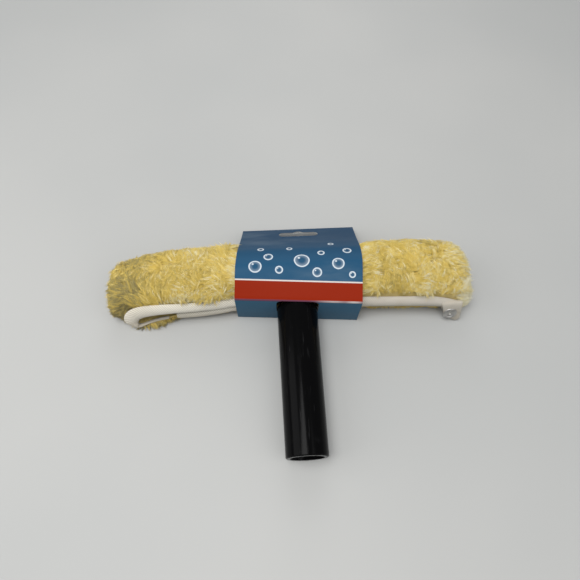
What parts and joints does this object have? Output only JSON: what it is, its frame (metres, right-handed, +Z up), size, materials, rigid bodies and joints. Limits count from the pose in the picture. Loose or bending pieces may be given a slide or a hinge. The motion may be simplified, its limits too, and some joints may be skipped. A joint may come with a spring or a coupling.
{
  "type": "window scrubber",
  "caption": "T-shaped window scrubber: round pole-socket handle, flat crossbar under a yellow fleece sleeve with a taped slit and press stud, and a folded hanging card.",
  "frame": {"origin": "centre of the pole socket's mouth, on the handle's axis", "axes": "+Y along the handle into the crossbar, +X along the crossbar towards the press stud, +Z up from the table the tool lies on"},
  "size_m": [0.27, 0.179, 0.0401],
  "materials": {
    "black_plastic": "satin black moulded plastic with fine scuffs",
    "bar_aluminium": "plain extruded aluminium",
    "plug_plastic": "matt black plastic",
    "rivet_steel": "plain steel",
    "yellow_fleece": "shaggy yellow pile with cream and olive streaks",
    "white_tape": "off-white twill tape",
    "snap_metal": "dull nickel",
    "printed_card": "varnished printed card, blue with a red band"
  },
  "bodies": {
    "t_bar": {"handle": "black_plastic", "crossbar": "bar_aluminium", "end_plug_left": "plug_plastic", "end_plug_right": "plug_plastic", "tongue_rivets": "rivet_steel", "hang_card": "printed_card"},
    "sleeve": {"fleece_cover": "yellow_fleece", "slit_binding": "white_tape", "stud_tab": "white_tape", "snap_stud": "snap_metal", "snap_post": "snap_metal"},
    "snap_tab": {"closure_tab": "white_tape", "snap_cap": "snap_metal", "snap_socket": "snap_metal"}
  },
  "joints": [
    {"name": "sleeve_slide", "type": "slide", "parent": "t_bar", "child": "sleeve", "axis": [1, 0, 0], "range_m": [-0.004, 0.004]},
    {"name": "snap_tab_hinge", "type": "hinge", "parent": "sleeve", "child": "snap_tab", "pos_m": [0.1138, 0.1018, 0.003], "axis": [-1, 0, 0], "range_deg": [0, 120]}
  ]
}
